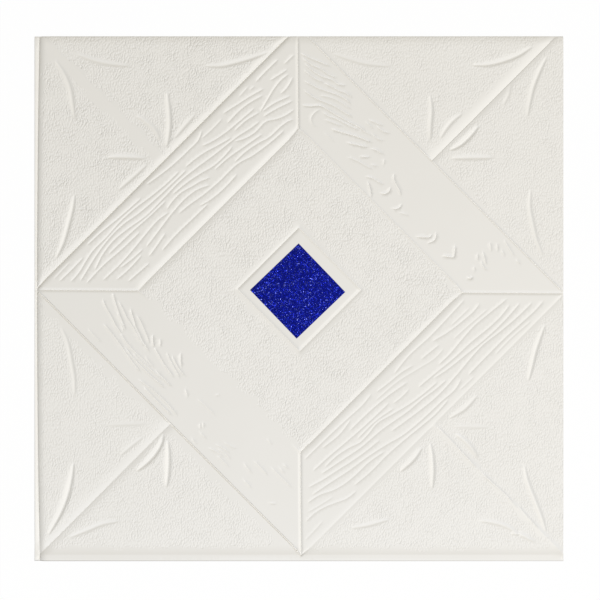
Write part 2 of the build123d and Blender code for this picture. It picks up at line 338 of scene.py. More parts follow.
BOTTOM_LEFT_GRAIN = (
    (1.5, (-174, 175), (-167, 179.5), (-155, 186), (-145, 190.5), (-136, 194.5), (-126, 199)),
    (1.3, (-160, 178), (-147, 182), (-138, 185.5), (-122, 189), (-106, 193.5), (-94, 196)),
    (1.6, (-142, 173), (-137, 177), (-129, 181), (-122, 185), (-107, 190.5), (-100, 193), (-84, 196.5)),
    (1.2, (-130, 174), (-122, 176), (-114, 179), (-106, 182), (-99, 185), (-92, 188.5)),
    (1.8, (-97, 177), (-90, 184), (-83, 188)),
    (1.3, (-86, 174), (-78, 182)),
    (1.3, (-84, 187.5), (-70, 191.5), (-59, 194.5), (-49, 196), (-37, 197.5)),
    (1.5, (-59, 179), (-52, 181.5), (-44, 184), (-36, 185.5), (-28, 185.5)),
    (1.3, (-67, 181), (-55, 185.5), (-43, 189), (-31, 192.5)),
    (1.6, (-54, 168), (-47, 175), (-39, 181)),
    (1.4, (-177, 191), (-168, 195), (-152, 199.5), (-136, 204.5), (-126, 205.5)),
    (1.3, (-151, 190), (-143, 193), (-135, 196.5), (-127, 202)),
    (1.2, (-128, 206), (-118, 208.5), (-104, 210), (-83, 209.5), (-68, 209)),
    (1.4, (-153, 213), (-133, 215), (-113, 218), (-90, 222), (-74, 223.5)),
    (1.2, (-98, 213), (-84, 213.5), (-62, 211.5), (-46, 210)),
    (0.9, (-163, 232), (-150, 233), (-138, 232.5)),
    (0.9, (-84, 204.5), (-73, 206), (-64, 207)),
    (1.5, (-61, 208), (-46, 208.5), (-31, 208)),
    (1.4, (-110, 215.5), (-90, 217.5), (-62, 217.5), (-36, 216)),
    (1.4, (-56, 234.5), (-36, 235.5), (-4, 235)),
    (1.3, (-68, 232), (-45, 229), (-17, 228.5), (2, 230)),
    (1.0, (-16, 197.5), (-5, 203)),
    (0.7, (5, 195.5), (20, 194.5), (36, 194)),
    (0.9, (18, 175), (22, 171.5)),
    (0.8, (32, 212), (38, 217)),
    (0.8, (30, 216), (36, 221)),
    (0.9, (38, 224.5), (51, 224.5)),
    (0.8, (36, 238), (47, 238)),
    (0.9, (61, 231), (71, 227.5), (84, 225.5)),
    (0.8, (64, 221), (74, 218), (86, 216)),
    (0.6, (70, 211), (81, 208.5), (88, 205)),
    (0.8, (70, 223), (81, 221), (93, 221)),
    (0.8, (76, 230), (98, 229.5)),
    (1.0, (116, 200.5), (126, 200.5), (142, 201)),
    (0.9, (108, 212), (117, 213.5), (126, 214)),
    (0.9, (138, 190.5), (176, 190.5)),
    (0.8, (123, 228), (139, 228)),
    (0.9, (146, 176), (155, 176)),
    (0.7, (146, 183), (156, 183)),
    (0.7, (108, 168), (117, 168)),
    (0.7, (169, 226), (177, 220.5)),
)
# Pleats drawn for each corner, in the same way.
TOP_RIGHT_PLEATS = (
    (1.1, (-11, 447), (-15, 428), (-25, 405), (-36, 388), (-50, 374)),
    (0.7, (-14, 319), (-15.5, 302), (-14, 288), (-11, 275)),
    (1.0, (-61, 306), (-46, 294), (-31, 277), (-19, 264)),
    (0.6, (-191, 254), (-173, 263), (-153, 274), (-125, 296)),
    (1.4, (13, 323), (15, 305), (14, 288), (9, 273)),
    (0.9, (56, 306), (39, 289), (18, 267)),
    (0.9, (12, 452), (19, 432), (28, 411), (39, 393), (50, 377)),
    (0.4, (4, 392), (12, 380), (17, 365)),
    (0.8, (121, 312), (137, 295), (157, 281), (177, 269), (194, 262)),
)
TOP_LEFT_PLEATS = (
    (1.0, (-12, 444), (-17, 421), (-25, 403), (-35, 389), (-48, 372)),
    (1.0, (-54, 305), (-37, 288), (-19, 268)),
    (0.8, (-74, 264), (-48, 262), (-24, 261)),
    (1.2, (-197, 258), (-175, 266), (-155, 277), (-135, 289), (-119, 301)),
    (0.8, (14, 430), (27, 403), (38, 387), (52, 370)),
    (0.8, (13, 317), (16, 299), (16, 285), (12, 272)),
    (1.3, (63, 310), (46, 289), (36, 278), (24, 268), (11, 259)),
    (0.7, (27, 260), (48, 261.5), (69, 263)),
    (1.0, (123, 299), (138, 284), (155, 273), (175, 262), (195, 253)),
)
BOTTOM_LEFT_PLEATS = (
    (1.6, (-51, 371), (-38, 388), (-26, 407), (-17, 427), (-7, 462)),
    (0.5, (-10, 283), (-12, 300), (-14, 320)),
    (0.7, (-189, 256), (-169, 264), (-148, 278), (-126, 294), (-113, 307)),
    (0.3, (-55, 305), (-20, 268)),
    (1.5, (7, 260), (14, 273), (18, 290), (18, 305), (16, 320)),
    (1.3, (16, 262), (32, 276), (47, 292), (59, 307)),
    (0.7, (46, 384), (34, 402), (26, 421), (15, 446)),
)
BOTTOM_RIGHT_PLEATS = (
    (1.0, (-74, 263), (-50, 264.5), (-31, 261)),
    (1.1, (-19, 264), (-28, 277), (-42, 293), (-60, 309)),
    (0.6, (-173, 270), (-155, 283), (-130, 297)),
    (0.8, (-46, 383), (-34, 399), (-25, 417), (-22, 433)),
    (0.8, (-28, 424), (-20, 436), (-14, 454)),
    (1.0, (13.5, 279), (15.5, 297), (14.5, 311), (11.5, 323)),
    (0.7, (22, 259), (45, 265), (70, 264)),
    (0.3, (18, 271), (50, 304)),
    (1.0, (48, 373), (36, 392), (27, 412), (17, 435), (7, 455)),
    (1.0, (131, 298), (148, 288), (166, 277), (182, 269), (199, 261)),
)
# The corners from the top right anticlockwise: the way each one faces out from the middle, which way its
# lines run along its plank, and the lines.
CORNERS = (
    (45, -1, TOP_RIGHT_GRAIN, TOP_RIGHT_PLEATS),
    (135, -1, TOP_LEFT_GRAIN, TOP_LEFT_PLEATS),
    (225, 1, BOTTOM_LEFT_GRAIN, BOTTOM_LEFT_PLEATS),
    (315, 1, BOTTOM_RIGHT_GRAIN, BOTTOM_RIGHT_PLEATS),
)


def linear(hex_colour):
    """An sRGB hex colour as the linear RGBA that a socket takes."""
    shares = [int(hex_colour[i:i + 2], 16) / 255 for i in (1, 3, 5)]
    bent = [s / 12.92 if s <= 0.04045 else ((s + 0.055) / 1.055) ** 2.4 for s in shares]
    return (*bent, 1.0)


def add_node(tree, kind, inputs=None, **settings):
    """Adds a node; inputs gives a socket, by name or number, its value or the socket or node to feed it."""
    made = tree.nodes.new(kind)
    for name, value in settings.items():
        setattr(made, name, value)
    for key, value in (inputs or {}).items():
        if isinstance(value, bpy.types.Node):
            value = value.outputs[0]
        if isinstance(value, bpy.types.NodeSocket):
            tree.links.new(value, made.inputs[key])
        else:
            made.inputs[key].default_value = value
    return made


def new_material(name):
    """A material with nothing in its tree yet, and the tree."""
    material = bpy.data.materials.new(name)
    material.use_nodes = True
    material.node_tree.nodes.clear()
    return material, material.node_tree


def growth_tree(name, piece, values):
    """A tree that takes a piece and some values, each value's identifier, and the sockets they come by."""
    tree = bpy.data.node_groups.new(name, "GeometryNodeTree")
    tree.interface.new_socket(piece, in_out="INPUT", socket_type="NodeSocketGeometry")
    known = {}
    for value, kind in values.items():
        known[value] = tree.interface.new_socket(value, in_out="INPUT", socket_type=kind).identifier
    tree.interface.new_socket(piece, in_out="OUTPUT", socket_type="NodeSocketGeometry")
    return tree, known, add_node(tree, "NodeGroupInput").outputs


def smooth_line(knots, step):
    """Even stations on a smooth line through the knots, with the unit normal and the run at each."""
    knots = np.array(knots, float)
    chord = np.r_[0, np.cumsum(np.hypot(*np.diff(knots, axis=0).T))]
    pull = np.gradient(knots, chord, axis=0)
    run = np.linspace(0, chord[-1], max(3, round(chord[-1] / step) + 1))
    here = np.clip(np.searchsorted(chord, run, side="right") - 1, 0, len(knots) - 2)
    span = (chord[here + 1] - chord[here])[:, None]
    t = (run - chord[here])[:, None] / span
    line = ((1 + 2 * t) * (1 - t) ** 2 * knots[here] + t * (1 - t) ** 2 * span * pull[here]
            + t * t * (3 - 2 * t) * knots[here + 1] + t * t * (t - 1) * span * pull[here + 1])
    ahead = np.gradient(line, axis=0)
    ahead /= np.hypot(*ahead.T)[:, None]
    return line, np.c_[-ahead[:, 1], ahead[:, 0]], run


def turned(points, degrees):
    """Points as (out, along) turned so that out faces the given way."""
    turn = math.radians(degrees)
    out = np.array((math.cos(turn), math.sin(turn)))
    along = np.array((-out[1], out[0]))
    return np.outer(points[:, 0], out) + np.outer(points[:, 1], along)


def laid_line(knots, facing, way):
    """Stations on a drawn line of one corner, with its normals and the run at each station."""
    placed = np.array([(out, way * along) for along, out in knots], float)
    return smooth_line(turned(placed, facing), LINE_STEP)


def grain_lines():
    """Every grain line of the four planks: stations, normals, half width and depth."""
    made = []
    for (facing, way, grain, _), bite in zip(CORNERS, GRAIN_BITE):
        for depth, *knots in grain:
            line, normal, run = laid_line(knots, facing, way)
            taper = min(GRAIN_TAPER, run[-1] / 3)
            fade = np.clip(np.minimum(run, run[-1] - run) / taper, 0, 1)
            fade = fade * (2 - fade)
            made.append((line, normal, GRAIN_HALF * (0.5 + 0.5 * fade), GRAIN_DEPTH * bite * depth * fade))
    return made


def pleat_lines():
    """Every leaf pleat of the cushions: a deep one is a little wider too."""
    made = []
    for facing, way, _, pleats in CORNERS:
        for depth, *knots in pleats:
            line, normal, run = laid_line(knots, facing, way)
            share = run / run[-1]
            leaf = np.sqrt(np.clip(4 * share * (1 - share), 0, 1))
            half = PLEAT_HALF * (0.75 + 0.25 * depth) * (0.25 + 0.75 * leaf)
            made.append((line, normal, half, PLEAT_DEPTH * depth * leaf))
    return made


def by_corner(values, x, y):
    """One value for each corner, from the top right anticlockwise, blended over the sheet's middle lines."""
    right = np.clip(0.5 + x / MIDDLE_BLEND, 0, 1)
    top = np.clip(0.5 + y / MIDDLE_BLEND, 0, 1)
    shares = (right * top, (1 - right) * top, (1 - right) * (1 - top), right * (1 - top))
    return sum(share * value for share, value in zip(shares, values))


def rolled(distance, width, fall):
    """How far a face has rolled down at a distance from the foot of its edge."""
    return fall * np.clip(1 - distance / width, 0, 1) ** 2


def joined(*falls):
    """Falls that meet, rounded into each other."""
    return sum(fall ** ROUNDING for fall in falls) ** (1 / ROUNDING)


def ramp(distance, start, length):
    """From 0 to 1 over a length that begins at the given distance."""
    return np.clip((distance - start) / length, 0, 1)


def left_line(y):
    """Where the pattern's left border is: it bows a little towards the cut."""
    return LEFT_BOW * ((y / PATTERN_HALF) ** 2 - 1 / 3) - PATTERN_HALF


def relief(places):
    """Height of the foam's face before the lines are pressed in, where it is pebbled, and how deep."""
    sheet_x, sheet_y = places.T
    x, y = (places @ SETTLED).T
    reach = (np.abs(x) + np.abs(y)) / ROOT_TWO
    from_frame = reach - FRAME_REACH - by_corner(FRAME_TRIM, x, y)
    from_field = reach - FIELD_REACH - by_corner(FIELD_TRIM, x, y)
    from_pad = (np.abs(x) + np.abs(y - PAD_RAISED)) / ROOT_TWO - PAD_REACH
    mitre = np.minimum(np.abs(x), np.abs(y))
    crease = by_corner(CREASE_AT, x, y) - np.where(x * y > 0, x - y, x + y) / ROOT_TWO
    from_left = sheet_x - left_line(sheet_y)
    from_foot = sheet_y - FOOT_LINE

    def cornered(edge):
        """An edge's width and fall here, blended from its corners."""
        return [by_corner(values, x, y) for values in zip(*edge)]

    def seam(depth, distance):
        """How deep a seam is at a distance from its line."""
        return depth * np.clip(1 - np.abs(distance) / SEAM_HALF, 0, 1)

    crease_sides = zip(cornered(CREASE_LIT), cornered(CREASE_LEE))
    crease_roll = [np.where(crease > 0, lit, lee) for lit, lee in crease_sides]
    plank = joined(rolled(-from_frame, *cornered(PLANK_OUTER)), rolled(from_field, *cornered(PLANK_INNER)),
                   rolled(mitre, *MITRE))
    cushion = joined(rolled(from_frame, *cornered(CUSHION_FOOT)), rolled(np.abs(crease), *crease_roll))
    field = joined(rolled(-from_field, *cornered(FIELD_RIM)), rolled(from_pad, *PAD_MOAT))
    pad = rolled(-from_pad, *PAD_EDGE)
    on_pad, in_field, in_frame = (distance < ON_LINE for distance in (from_pad, from_field, from_frame))
    fall = np.select([on_pad, in_field, in_frame], [pad, field, plank], cushion)
    fall += seam(by_corner(OUTER_SEAM, x, y), from_frame) + seam(by_corner(INNER_SEAM, x, y), from_field)
    fall = joined(fall * ramp(from_foot, -FOOT_FADE, FOOT_FADE), rolled(from_left, *LEFT_RIM),
                  rolled(TOP_CUT - sheet_y, *TOP_RIM))
    fall += seam(LEFT_SEAM, from_left)
    trough = rolled(from_foot, TROUGH_WIDTH, LIP[1]) - rolled(from_foot, *LIP)
    curl = FLANGE_CURL * np.clip(-from_left, 0, None)
    crest = np.where(on_pad, FOAM_HIGH.z, CREST)

    strip = np.where(crease > 0, by_corner(SMOOTH_LIT, x, y), by_corner(SMOOTH_LEE, x, y))
    clear = np.where(in_field, np.minimum(from_pad - SMOOTH_PAD, -from_field - SMOOTH_FIELD),
                     np.minimum(from_frame - by_corner(SMOOTH_FRAME, x, y), np.abs(crease) - strip))
    clear = np.minimum(clear, np.minimum(from_left, from_foot - SMOOTH_FOOT))
    bite = np.where(in_field, 1, by_corner(PEBBLE_BITE, x, y))
    height = np.maximum(crest - trough - fall + curl, THINNEST)
    return height, ramp(clear, 0, PEBBLE_FADE), bite


def thinned(groups):
    """Points kept in order, each at least its group's clearance from all that are kept before it."""
    cell = max(clearance for clearance, _ in groups)
    kept = []
    filed = {}
    for clearance, points in groups:
        for x, y in points:
            column = math.floor(x / cell)
            row = math.floor(y / cell)
            near = (filed.get((column + i, row + j), ()) for i in (-1, 0, 1) for j in (-1, 0, 1))
            if any((x - a) ** 2 + (y - b) ** 2 < clearance ** 2 for others in near for a, b in others):
                continue
            kept.append((x, y))
            filed.setdefault((column, row), []).append((x, y))
    return kept


def spaced(low, high, step):
    """Even steps from low to high, both ends included."""
    return np.linspace(low, high, max(2, round((high - low) / step) + 1))


def square_rows(reach, trims, offsets, step):
    """Points in rows beside the four sides of a lozenge, each side moved out by its trim."""
    along = spaced(-reach, reach, step)
    rows = []
    for (facing, *_), trim in zip(CORNERS, trims):
        for offset in offsets:
            here = along[np.abs(along) <= reach + offset]
            rows.append(turned(np.c_[np.full(len(here), reach + trim + offset), here], facing))
    return np.concatenate(rows)


def mitre_rows(offsets, step):
    """Points in rows beside the four mitres between the planks."""
    out = spaced(FIELD_REACH * ROOT_TWO, FRAME_REACH * ROOT_TWO, step)
    rows = []
    for facing in (0, 90, 180, 270):
        for offset in offsets:
            rows.append(turned(np.c_[out, np.full(len(out), offset)], facing))
    return np.concatenate(rows)


def crease_rows(offsets, step):
    """Points in rows beside the crease of each corner."""
    out = spaced(FRAME_REACH, PATTERN_HALF * ROOT_TWO, step)
    rows = []
    for (facing, way, _, _), at in zip(CORNERS, CREASE_AT):
        for offset in offsets:
            rows.append(turned(np.c_[out, np.full(len(out), way * (at + offset))], facing))
    return np.concatenate(rows)


def lattice(step):
    """A staggered lattice over a square that the panel fits in."""
    rows = []
    for number, y in enumerate(np.arange(-LATTICE_HALF, LATTICE_HALF, step * math.sqrt(3) / 2)):
        x = np.arange(-LATTICE_HALF + (number % 2) * step / 2, LATTICE_HALF, step)
        rows.append(np.c_[x, np.full(len(x), y)])
    return np.concatenate(rows)


def border_rows(low, high):
    """Points in rows beside the left border, the foot strip and the top cut."""
    up = spaced(low[1], high[1], UP_STEP)
    across = spaced(low[0], high[0], ACROSS_STEP)
    rows = [np.c_[left_line(up) + inset, up] for inset in LEFT_ROWS]
    rows += [np.c_[across, np.full(len(across), FOOT_LINE + inset)] for inset in FOOT_ROWS]
    rows += [np.c_[across, np.full(len(across), TOP_CUT - inset)] for inset in TOP_ROWS]
    return np.concatenate(rows)


def both_sides(*offsets):
    """Offsets to both sides of a line, and the line."""
    return (0, *offsets, *(-offset for offset in offsets))


def foam_points(lines, pleats, low, high):
    """The points that carry the foam's face: dense along grooves, grain and pleats, open between."""
    grain = [line + normal * offset * GRAIN_HALF
             for line, normal, _, _ in lines for offset in both_sides(*GRAIN_ROWS)]
    folds = [line + normal * half[:, None] * offset
             for line, normal, half, _ in pleats for offset in both_sides(*PLEAT_ROWS)]
    open_points = lattice(OPEN_STEP)
    plank_points = lattice(PLANK_STEP)
    open_reach, plank_reach = (np.abs(points).sum(1) / ROOT_TWO for points in (open_points, plank_points))
    plank_points = plank_points[(plank_reach > FIELD_REACH) & (plank_reach < FRAME_REACH)]
    open_points = open_points[(open_reach < FIELD_REACH) | (open_reach > FRAME_REACH)]
    seam_rows = both_sides(*SEAM_ROWS)
    pad_rows = square_rows(PAD_REACH, (0, 0, 0, 0), PAD_ROWS, FINE_STEP)
    # Each group of points with the clearance that it keeps from those before it.
    groups = [
        (0.45, mitre_rows(both_sides(*MITRE_ROWS), FINE_STEP) @ PULL),
        (0.45, square_rows(FRAME_REACH, FRAME_TRIM, seam_rows, SIDE_STEP) @ PULL),
        (0.45, square_rows(FIELD_REACH, FIELD_TRIM, seam_rows, SIDE_STEP) @ PULL),
        (0.45, (pad_rows + (0, PAD_RAISED)) @ PULL),
        (0.45, crease_rows(both_sides(*CREASE_ROWS), SIDE_STEP) @ PULL),
        (0.6, border_rows(low, high)),
        (0.5, np.concatenate(grain)),
        (0.7, np.concatenate(folds)),
        (1.6, square_rows(FRAME_REACH, FRAME_TRIM, FRAME_ROWS, WIDE_STEP) @ PULL),
        (1.6, square_rows(FIELD_REACH, FIELD_TRIM, FIELD_ROWS, WIDE_STEP) @ PULL),
        (1.6, plank_points @ PULL),
        (2.4, open_points @ PULL),
    ]
    first = low + (CUT_EDGE + RIM_CLEAR, FOOT_CUT + RIM_CLEAR)
    last = high - CUT_EDGE - RIM_CLEAR
    inside = []
    for clearance, points in groups:
        within = np.all((points > first) & (points < last), axis=1)
        inside.append((clearance, points[within].tolist()))
    return thinned(inside)


def outline(low, high, step):
    """A rectangle's points, counter-clockwise from its lowest corner."""
    across = spaced(low[0], high[0], step)
    up = spaced(low[1], high[1], step)
    foot = np.c_[across[:-1], np.full(len(across) - 1, low[1])]
    right = np.c_[np.full(len(up) - 1, high[0]), up[:-1]]
    top = np.c_[across[:0:-1], np.full(len(across) - 1, high[1])]
    left = np.c_[np.full(len(up) - 1, low[0]), up[:0:-1]]
    return np.concatenate((foot, right, top, left))


def foam_mesh(lines, pleats):
    """The foam sheet as one closed mesh: the embossed face, its cut edge and its flat back."""
    middle = np.array((MIDDLE_X, MIDDLE_Y))
    low = np.array(FOAM_LOW.xy) - middle
    high = np.array(FOAM_HIGH.xy) - middle
    rim = outline(low, high, RIM_STEP)
    face_rim = np.clip(rim, low + (CUT_EDGE, FOOT_CUT), high - CUT_EDGE)
    points = [Vector(p) for p in face_rim.tolist() + foam_points(lines, pleats, low, high)]
    laid, _, faces, sources, _, _ = delaunay_2d_cdt(points, [], [], 0, WELD)
    place = {source: number for number, group in enumerate(sources) for source in group}
    xy = np.array(laid)
    height, pebbled, bite = relief(xy)
    top = [place[i] for i in range(len(rim))]
    shoulder = np.c_[rim, height[top] - CUT_EDGE]
    foot = np.c_[rim, np.zeros(len(rim))]
    spread = lattice(BACK_STEP)
    spread = spread[np.all((spread > low + BACK_CLEAR) & (spread < high - BACK_CLEAR), axis=1)]
    back_points = [Vector(p) for p in np.concatenate((rim, spread)).tolist()]
    back_laid, _, back_faces, back_sources, _, _ = delaunay_2d_cdt(back_points, [], [], 0, WELD)
    first_shoulder = len(xy)
    first_foot = first_shoulder + len(rim)
    first_back = first_foot + len(rim)
    back_place = {}
    back_only = []
    for number, group in enumerate(back_sources):
        if group[0] < len(rim):
            back_place[number] = first_foot + group[0]
        else:
            back_place[number] = first_back + len(back_only)
            back_only.append((*back_laid[number], 0.0))
    walls = []
    for i in range(len(rim)):
        j = (i + 1) % len(rim)
        walls.append((first_shoulder + i, first_shoulder + j, top[j], top[i]))
        walls.append((first_foot + i, first_foot + j, first_shoulder + j, first_shoulder + i))
    back = [tuple(back_place[corner] for corner in reversed(face)) for face in back_faces]
    places = np.concatenate((np.c_[xy, height], shoulder, foot, np.array(back_only)))
    places[:, :2] += middle
    mesh = bpy.data.meshes.new("foam_panel_face")
    mesh.from_pydata((places * MM).tolist(), [], faces + walls + back)
    # Painted shade: the cut edge's bevel and wall are painted darker round the panel, most along the foot
    # towards its left end.
    edge_shade = np.zeros(len(places))
    foot_shade = np.interp(rim[:, 0], (low[0], high[0]), FOOT_SHADE)
    edge_shade[first_shoulder:first_back] = np.tile(np.where(rim[:, 1] <= low[1], foot_shade, EDGE_SHADE), 2)
    plain = np.zeros(len(places) - len(xy))
    for name, values in (("pebbled", np.r_[pebbled, plain]), ("bite", np.r_[bite, plain]), ("edge_shade", edge_shade)):
        mesh.attributes.new(name, "FLOAT", "POINT").data.foreach_set("value", values)
    mesh.validate()
    mesh.shade_smooth()
    mesh.set_sharp_from_angle(angle=math.radians(SHARP_ANGLE))
    return mesh


def press_mesh(lines):
    """The lines of the embossing roller, laid flat, each point with its half width and depth."""
    places = []
    edges = []
    halves = []
    depths = []
    for line, _, half, depth in lines:
        edges += [(len(places) + i, len(places) + i + 1) for i in range(len(line) - 1)]
        places += [((x + MIDDLE_X) * MM, (y + MIDDLE_Y) * MM, 0.0) for x, y in line]
        halves += (half * MM).tolist()
        depths += (depth * MM).tolist()
    mesh = bpy.data.meshes.new("roller_lines")
    mesh.from_pydata(places, edges, [])
    for name, values in (("half_width", halves), ("depth", depths)):
        mesh.attributes.new(name, "FLOAT", "POINT").data.foreach_set("value", values)
    return mesh


def press_tree(material):
    """Geometry nodes that press the roller's lines into the face, wider on one side by the lean."""
    kinds = {"Roller lines": "NodeSocketObject", "Lean": "NodeSocketFloat", "Lowest face": "NodeSocketFloat"}
    tree, known, given = growth_tree("press_lines", "Foam", kinds)
    drawn = add_node(tree, "GeometryNodeObjectInfo", {"Object": given["Roller lines"]}).outputs["Geometry"]
    place = add_node(tree, "GeometryNodeInputPosition")
    flat = add_node(tree, "ShaderNodeVectorMath", {0: place, 1: (1, 1, 0)}, operation="MULTIPLY")
    nearest = add_node(tree, "GeometryNodeProximity", {0: drawn, "Sample Position": flat},
                       target_element="EDGES").outputs
    point = add_node(tree, "GeometryNodeSampleNearest", {0: drawn, "Sample Position": nearest["Position"]})
    read = {}
    for name in ("half_width", "depth"):
        stored = add_node(tree, "GeometryNodeInputNamedAttribute", {"Name": name}, data_type="FLOAT")
        read[name] = add_node(tree, "GeometryNodeSampleIndex", {0: drawn, 1: stored, "Index": point})
    away = add_node(tree, "ShaderNodeVectorMath", {0: flat, 1: nearest["Position"]}, operation="SUBTRACT")
    side = add_node(tree, "ShaderNodeVectorMath", {0: away}, operation="NORMALIZE")
    uphill = add_node(tree, "ShaderNodeVectorMath", {0: side, 1: LEAN_WAY}, operation="DOT_PRODUCT")
    stretch = add_node(tree, "ShaderNodeMath", {0: uphill.outputs["Value"], 1: given["Lean"], 2: 1.0},
                       operation="MULTIPLY_ADD")
    width = add_node(tree, "ShaderNodeMath", {0: read["half_width"], 1: stretch}, operation="MULTIPLY")
    share = add_node(tree, "ShaderNodeMath", {0: nearest["Distance"], 1: width}, operation="DIVIDE",
                     use_clamp=True)
    turn = add_node(tree, "ShaderNodeMath", {0: share, 1: math.pi}, operation="MULTIPLY")
    wave = add_node(tree, "ShaderNodeMath", {0: turn}, operation="COSINE")
    bowl = add_node(tree, "ShaderNodeMath", {0: wave, 1: 0.5, 2: 0.5}, operation="MULTIPLY_ADD")
    press = add_node(tree, "ShaderNodeMath", {0: bowl, 1: read["depth"]}, operation="MULTIPLY")
    high = add_node(tree, "ShaderNodeSeparateXYZ", {0: place}).outputs["Z"]
    on_face = add_node(tree, "FunctionNodeCompare", {0: high, 1: given["Lowest face"]}, data_type="FLOAT",
                       operation="GREATER_THAN")
    drop = add_node(tree, "ShaderNodeMath", {0: press, 1: -1.0}, operation="MULTIPLY")
    shift = add_node(tree, "ShaderNodeCombineXYZ", {"Z": drop})
    marked = add_node(tree, "GeometryNodeStoreNamedAttribute",
                      {"Geometry": given["Foam"], "Name": "pressed", "Value": bowl},
                      data_type="FLOAT", domain="POINT")
    moved = add_node(tree, "GeometryNodeSetPosition",
                     {"Geometry": marked, "Selection": on_face, "Offset": shift})
    real = add_node(tree, "GeometryNodeRealizeInstances", {0: moved})
    painted = add_node(tree, "GeometryNodeSetMaterial", {"Geometry": real, "Material": material})
    add_node(tree, "NodeGroupOutput", {0: painted})
    return tree, known


def grown(piece, tree, values):
    """The piece with the tree's result as its plain mesh."""
    growth = piece.modifiers.new("growth", "NODES")
    growth.node_group = tree
    for identifier, value in values.items():
        growth[identifier] = value
    evaluated = piece.evaluated_get(bpy.context.evaluated_depsgraph_get())
    result = bpy.data.meshes.new_from_object(evaluated)
    piece.modifiers.remove(growth)
    piece.data = result
    return piece


def new_piece(name, mesh):
    """An object in the scene for a mesh that already has its place."""
    piece = bpy.data.objects.new(name, mesh)
    bpy.context.scene.collection.objects.link(piece)
    return piece


def foam_panel(material):
    """The embossed foam sheet, with grain and pleats pressed into it."""
    lines = grain_lines()
    pleats = pleat_lines()
    piece = new_piece("embossed_foam", foam_mesh(lines, pleats))
    tree, known = press_tree(material)
    for drawn, lean in ((lines, 0.0), (pleats, PLEAT_LEAN)):
        roller = new_piece("roller", press_mesh(drawn))
        grown(piece, tree, {known["Roller lines"]: roller, known["Lean"]: lean,
                            known["Lowest face"]: PRESS_ABOVE * MM})
        bpy.data.objects.remove(roller)
    return piece


def film_plan():
    """The film's side, turn and middle, from its box in the frame."""
    turn = math.radians(45 + FILM_TURN)
    side = (FILM_HIGH.x - FILM_LOW.x) / (math.cos(turn) + math.sin(turn))
    middle = (FILM_LOW + FILM_HIGH) / 2
    return side, turn, middle


def flake_tree(material):
    """Geometry nodes that strew six-sided flakes over the film's face."""
    kinds = dict.fromkeys(("Flake", "Thickness", "Gap", "Tilt", "Side"), "NodeSocketFloat")
    tree, known, given = growth_tree("strew_flakes", "Film", kinds)
    bed = add_node(tree, "GeometryNodeMeshGrid",
                   {"Size X": given["Side"], "Size Y": given["Side"], "Vertices X": 2, "Vertices Y": 2})
    strewn = add_node(tree, "GeometryNodeDistributePointsOnFaces",
                      {"Mesh": bed, "Distance Min": given["Gap"], "Density Max": FLAKE_DENSITY, "Seed": 7},
                      distribute_method="POISSON")
    flake = add_node(tree, "GeometryNodeMeshCylinder",
                     {"Vertices": 6, "Radius": given["Flake"], "Depth": given["Thickness"]}, fill_type="NGON")
    back_tilt = add_node(tree, "ShaderNodeMath", {0: given["Tilt"], 1: -1.0}, operation="MULTIPLY")
    low = add_node(tree, "ShaderNodeCombineXYZ", {"X": back_tilt, "Y": back_tilt, "Z": 0.0})
    high = add_node(tree, "ShaderNodeCombineXYZ", {"X": given["Tilt"], "Y": given["Tilt"], "Z": FLAKE_SPIN})
    tilt = add_node(tree, "FunctionNodeRandomValue", {0: low, 1: high, "Seed": 3}, data_type="FLOAT_VECTOR")
    size = add_node(tree, "FunctionNodeRandomValue", {2: FLAKE_SIZES[0], 3: FLAKE_SIZES[1], "Seed": 5},
                    data_type="FLOAT").outputs[1]
    laid = add_node(tree, "GeometryNodeInstanceOnPoints",
                    {"Points": strewn, "Instance": flake, "Rotation": tilt, "Scale": size})
    tone = add_node(tree, "FunctionNodeRandomValue", {2: 0.0, 3: 1.0, "Seed": 11},
                    data_type="FLOAT").outputs[1]
    toned = add_node(tree, "GeometryNodeStoreNamedAttribute",
                     {"Geometry": laid, "Name": "tone", "Value": tone}, data_type="FLOAT", domain="INSTANCE")
    real = add_node(tree, "GeometryNodeRealizeInstances", {0: toned})
    covered = add_node(tree, "GeometryNodeJoinGeometry", {0: real})
    tree.links.new(given["Film"], covered.inputs[0])
    painted = add_node(tree, "GeometryNodeSetMaterial", {"Geometry": covered, "Material": material})
    add_node(tree, "NodeGroupOutput", {0: painted})
    return tree, known


def glitter_film(material):
    """The glitter film: a thin slab with a bed of flakes on its face."""
    side, turn, middle = film_plan()
    bpy.ops.mesh.primitive_cube_add(size=1)
    piece = bpy.context.object
    piece.name = "glitter_lozenge"
    thick = FILM_HIGH.z - FILM_LOW.z
    for corner in piece.data.vertices:
        corner.co = Vector((corner.co.x * side, corner.co.y * side, (corner.co.z - 0.5) * thick)) * MM
    tree, known = flake_tree(material)
    grown(piece, tree, {known["Flake"]: FLAKE / 2 * MM, known["Thickness"]: FLAKE_THICK * MM,
                        known["Gap"]: FLAKE_GAP * MM, known["Tilt"]: math.radians(FLAKE_TILT),
                        known["Side"]: (side - 2 * FLAKE_MARGIN) * MM})
    for corner in piece.data.vertices:
        x, y, z = corner.co
        corner.co = (x * math.cos(turn) - y * math.sin(turn) + middle.x * MM,
                     x * math.sin(turn) + y * math.cos(turn) + middle.y * MM, z + FILM_HIGH.z * MM)
    piece.data.shade_flat()
    return piece


